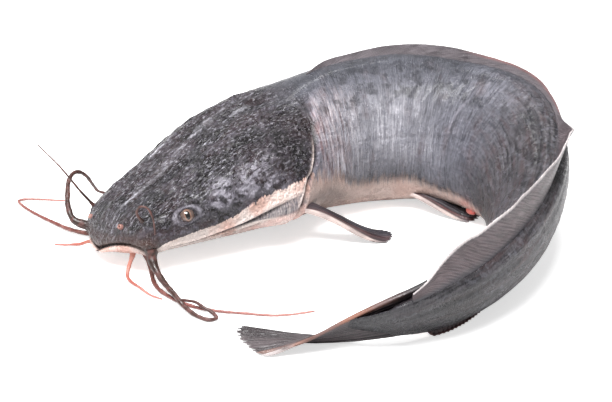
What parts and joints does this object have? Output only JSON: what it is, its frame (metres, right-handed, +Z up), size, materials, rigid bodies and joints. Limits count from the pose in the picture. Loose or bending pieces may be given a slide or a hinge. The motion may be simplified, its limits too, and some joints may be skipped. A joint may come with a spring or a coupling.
{
  "type": "catfish",
  "caption": "Whole raw long-bodied catfish lying belly down, bent round to its left: flat broad head, long barbels, small eyes, folded soft fins, slate-grey mottled wet skin, pale pink belly.",
  "frame": {"origin": "on the floor, under the middle of the whole fish's box", "axes": "+X across the bend from the head side to the outside of the bend, +Y from the tail towards the trunk's far side, +Z up from the floor"},
  "size_m": [0.3316, 0.248, 0.0923],
  "materials": {
    "skin": "wet mottled slate-grey skin, pale pink belly",
    "fin": "wet ribbed fin web, paler pink edge",
    "barbel": "smooth wet dark brown feeler",
    "pale_barbel": "smooth wet pink feeler",
    "eye": "wet eye, tan iris and dark pupil"
  },
  "bodies": {
    "root": {"body": "skin", "left_eye": "eye", "right_eye": "eye", "dorsal_fin": "fin", "anal_fin": "fin", "caudal_fin": "fin", "left_pectoral_fin": "fin", "right_pectoral_fin": "fin", "left_pelvic_fin": "fin", "right_pelvic_fin": "fin", "left_maxillary_barbel": "barbel", "right_maxillary_barbel": "barbel", "left_outer_mandibular_barbel": "barbel", "right_outer_mandibular_barbel": "barbel", "left_inner_mandibular_barbel": "pale_barbel", "right_inner_mandibular_barbel": "pale_barbel", "left_nasal_barbel": "barbel", "right_nasal_barbel": "barbel"}
  },
  "joints": []
}
